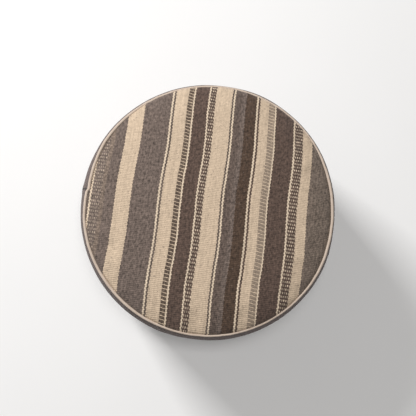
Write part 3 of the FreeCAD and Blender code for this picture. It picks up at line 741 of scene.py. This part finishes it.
def base_half(name, sign):
    cloth = level_round(BASE_RADIUS, 0.0002, BASE_RADIUS - 0.0001, 72, 0.017, 0.032, 0.0, 0.008)
    bpy.ops.object.mode_set(mode="EDIT")
    for point, normal in (((0, SLOT_HALF_WIDTH, 0), (0, 1, 0)), ((-SLOT_HALF_LENGTH, 0, 0), (1, 0, 0)),
                          ((SLOT_HALF_LENGTH, 0, 0), (1, 0, 0))):
        bpy.ops.mesh.select_all(action="SELECT")
        bpy.ops.mesh.bisect(plane_co=point, plane_no=normal)
    bpy.ops.object.mode_set(mode="OBJECT")
    select_faces(cloth, lambda middle: middle.y < SLOT_HALF_WIDTH and abs(middle.x) < SLOT_HALF_LENGTH)
    bpy.ops.object.mode_set(mode="EDIT")
    bpy.ops.mesh.delete(type="FACE")
    bpy.ops.mesh.select_all(action="SELECT")
    bpy.ops.mesh.flip_normals()
    bpy.ops.object.mode_set(mode="OBJECT")
    thicken(cloth, CANVAS_THICK)
    cloth.data.transform(Matrix.Diagonal((sign, sign, 1, 1)))
    return settle(cloth, name, CANVAS)


base_rear = base_half("base_cloth_rear", 1)
base_front = base_half("base_cloth_front", -1)


def tape_strip(name, sign):
    """Woven tape that lies level beside the teeth."""
    start()
    bpy.ops.mesh.primitive_grid_add(x_subdivisions=120, y_subdivisions=8, size=2)
    tape = bpy.context.object
    for vertex in tape.data.vertices:
        vertex.co = (vertex.co.x * TAPE_HALF_LENGTH, TAPE_INNER + TAPE_WIDTH * (vertex.co.y + 1) / 2, TAPE_UP)
    thicken(tape, TAPE_THICK)
    tape.data.transform(Matrix.Diagonal((sign, sign, 1, 1)))
    return settle(tape, name, TAPE)


tape_rear = tape_strip("zip_tape_cloth_rear", 1)
tape_front = tape_strip("zip_tape_cloth_front", -1)

# Insert: a cotton bag in three pieces round two foams and wadding.

liner_corner = [(0.2190 + 0.0232 * math.sin(a), 0.0250 - 0.0232 * math.cos(a))
                for a in (math.pi / 2 * i / 8 for i in range(9))]
liner_side = turned(liner_corner + arc((0.2422, 0.0250), (0.2456, 0.2920), 0.0048, 24)[1:])
pull_in(liner_side, 0)
thicken(liner_side, LINER_THICK)
settle(liner_side, "insert_wall_cloth", LINER)
liner_shoulder = [(0.2456, 0.2925), (0.2440, 0.3100), (0.2378, 0.3260), (0.2280, 0.3400), (0.2150, 0.3525)]
liner_top = turned(liner_shoulder + crown(0.2030, 0.3586, 0.3746, 30))
pull_in(liner_top, 0)
thicken(liner_top, LINER_THICK)
settle(liner_top, "insert_top_cloth", LINER)
liner_base = level_round(0.2188, -0.2187, 0.2187, 96, 0.021, 0.036, 0.0018, 0.0132)
edit_all(liner_base, bpy.ops.mesh.flip_normals)
thicken(liner_base, LINER_THICK)
settle(liner_base, "insert_base_cloth", LINER)

foam_core = level_round(FOAM_RADIUS, 0.0001 - FOAM_RADIUS, FOAM_RADIUS - 0.0001, 96, 0.021, 0.036, 0.0030, 0.0145)
edit_all(foam_core, bpy.ops.mesh.extrude_region_move, TRANSFORM_OT_translate={"value": (0, 0, 0.24)})
for vertex in foam_core.data.vertices:
    if vertex.select:
        vertex.co.z = FOAM_JOIN
    elif math.hypot(vertex.co.x, vertex.co.y) > 0.2265:
        vertex.co.z = max(vertex.co.z, 0.0172)
edit_all(foam_core, bpy.ops.mesh.normals_make_consistent, inside=False)
pull_in(foam_core, 0)
settle(foam_core, "firm_foam_block", FIRM_FOAM)
foam_corner = [(0.2098 + 0.018 * math.cos(a), 0.3068 + 0.018 * math.sin(a))
               for a in (math.pi / 2 * i / 8 for i in range(9))]
foam_seat = turned([(FOAM_RADIUS, 0.2552), (FOAM_RADIUS, 0.28)] + foam_corner, 192, ("first", "last"))
pull_in(foam_seat, 0)
settle(foam_seat, "soft_foam_round", SOFT_FOAM)
wrap_outer = arc((0.2410, 0.0252), (0.2444, 0.2916), 0.0046, 24)
wadding_wrap = turned([(WRAP_INNER, 0.0252)] + wrap_outer + [(WRAP_INNER, 0.2916), (WRAP_INNER, 0.0252)])
pull_in(wadding_wrap, 0)
settle(wadding_wrap, "wadding_round_the_foam", WADDING)
crown_under = [(0.0010, 0.3253), (0.2100, 0.3253), (0.2180, 0.3230), (0.2250, 0.3170), (WRAP_INNER, 0.3070),
               (WRAP_INNER, 0.2922), (0.2442, 0.2922)]
crown_over = [(0.2426, 0.3100), (0.2364, 0.3256), (0.2268, 0.3394), (0.2138, 0.3518)]
wadding_crown = turned(crown_under + crown_over + crown(0.2020, 0.3574, 0.3734, 24), 192, ("first", "last"))
pull_in(wadding_crown, 0)
settle(wadding_crown, "wadding_crown_pad", WADDING)

# Zip: the imported pieces in brass, with the slider's and the pull tab's edges broken.

for node, material in (("zip_teeth_rear", TEETH_BRASS), ("zip_teeth_front", TEETH_BRASS),
                       ("zip_top_stops", TEETH_BRASS), ("zip_bottom_stop", TEETH_BRASS),
                       ("zip_slider", CAST_BRASS), ("zip_pull_tab", CAST_BRASS)):
    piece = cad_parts[node]
    piece.data.materials.clear()
    piece.data.materials.append(material)
    if node in ("zip_slider", "zip_pull_tab"):
        piece.modifiers.new("weld", "WELD").merge_threshold = 0.00001
        bevel = piece.modifiers.new("broken_edges", "BEVEL")
        bevel.width = 0.0002
        bevel.segments = 2
        bevel.limit_method = "ANGLE"

# What each piece is, what it stands for and what it rides on.

PIECES = [
    (side_panel, "kilim_plain", "side_panel"), (top_panel, "kilim_striped", "top_panel"),
    (piping, "piping_cotton", "welt_cover"), (piping_cord, "cord_cotton", "welt_cord"),
    (base_rear, "base_canvas", "base_panel_rear"), (base_front, "base_canvas", "base_panel_front"),
    (tape_rear, "zip_tape", "zip_tape_rear"), (tape_front, "zip_tape", "zip_tape_front"),
    (liner_side, "liner_cotton", "liner_side"), (liner_top, "liner_cotton", "liner_top"),
    (liner_base, "liner_cotton", "liner_base"), (foam_core, "foam_firm", "foam_core"),
    (foam_seat, "foam_soft", "foam_seat"), (wadding_wrap, "wadding", "wadding_wrap"),
    (wadding_crown, "wadding", "wadding_crown"),
]
for piece, slot, node in PIECES:
    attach(piece, "pouf")
    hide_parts(node)
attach(rim_stitches, "pouf")

# Floor, light and camera. The photograph looks down from 1.9 m with the pouf turned by 7.1 degrees.

start()
bpy.ops.mesh.primitive_grid_add(x_subdivisions=2, y_subdivisions=2, size=14, location=(0, 0, -0.0004))
floor = bpy.context.object
bpy.ops.object.transform_apply(location=True)
floor.name = "floor"
floor_material, floor_tree = new_material("pale_floor")
speckle = add(floor_tree, "TexNoise", {"Vector": add(floor_tree, "TexCoord", out=3), "Scale": 3.0})
floor_colour = add(floor_tree, "Mix", {0: speckle, 6: linear("f1f0ef"), 7: linear("f5f4f3")}, out=2,
                   data_type="RGBA")
finish_material(floor_tree, {"Base Color": floor_colour, "Roughness": 0.9, "Specular IOR Level": 0.1})
floor.data.materials.append(floor_material)

LEAN = math.radians(7.1)
AZIMUTH = math.radians(-11)
ELEVATION = math.radians(85)
DISTANCE = 1.9
LENS = 84.4
AIM_UP = 0.0041
AIM_RIGHT = -0.0025
picture_up = Vector((-math.sin(LEAN), math.cos(LEAN), 0))
picture_right = Vector((math.cos(LEAN), math.sin(LEAN), 0))
back = Vector((math.sin(AZIMUTH) * math.cos(ELEVATION), -math.cos(AZIMUTH) * math.cos(ELEVATION),
               math.sin(ELEVATION)))
aim = Vector((0, 0, RIM_HEIGHT)) + picture_up * AIM_UP + picture_right * AIM_RIGHT
camera_data = bpy.data.cameras.new("camera")
camera_data.lens = LENS
camera_data.sensor_width = 36
camera_data.clip_end = 50
camera = bpy.data.objects.new("camera", camera_data)
bpy.context.scene.collection.objects.link(camera)
right = picture_up.cross(back).normalized()
upward = back.cross(right)
camera.matrix_world = Matrix.Translation(aim + back * DISTANCE) @ Matrix(
    (right, upward, back)).transposed().to_4x4()
bpy.context.scene.camera = camera


def area_light(name, power, size, place, target):
    data = bpy.data.lights.new(name, "AREA")
    data.energy = power
    data.size = size
    light = bpy.data.objects.new(name, data)
    light.location = place
    light.rotation_euler = (Vector(target) - Vector(place)).to_track_quat("-Z", "Y").to_euler()
    bpy.context.scene.collection.objects.link(light)


key_place = picture_up * 2.155 - picture_right * 1.94 + Vector((0, 0, 2.7))
area_light("window", 113, 0.9, key_place, (0, 0, 0.2))
area_light("ceiling", 146, 1.2, (0, 0, 6.0), (0, 0, 0))
world = bpy.data.worlds.new("studio")
world.use_nodes = True
world.node_tree.nodes["Background"].inputs["Color"].default_value = linear("fbfaf8")
world.node_tree.nodes["Background"].inputs["Strength"].default_value = 0.12
bpy.context.scene.world = world
bpy.context.scene.view_settings.view_transform = "Standard"
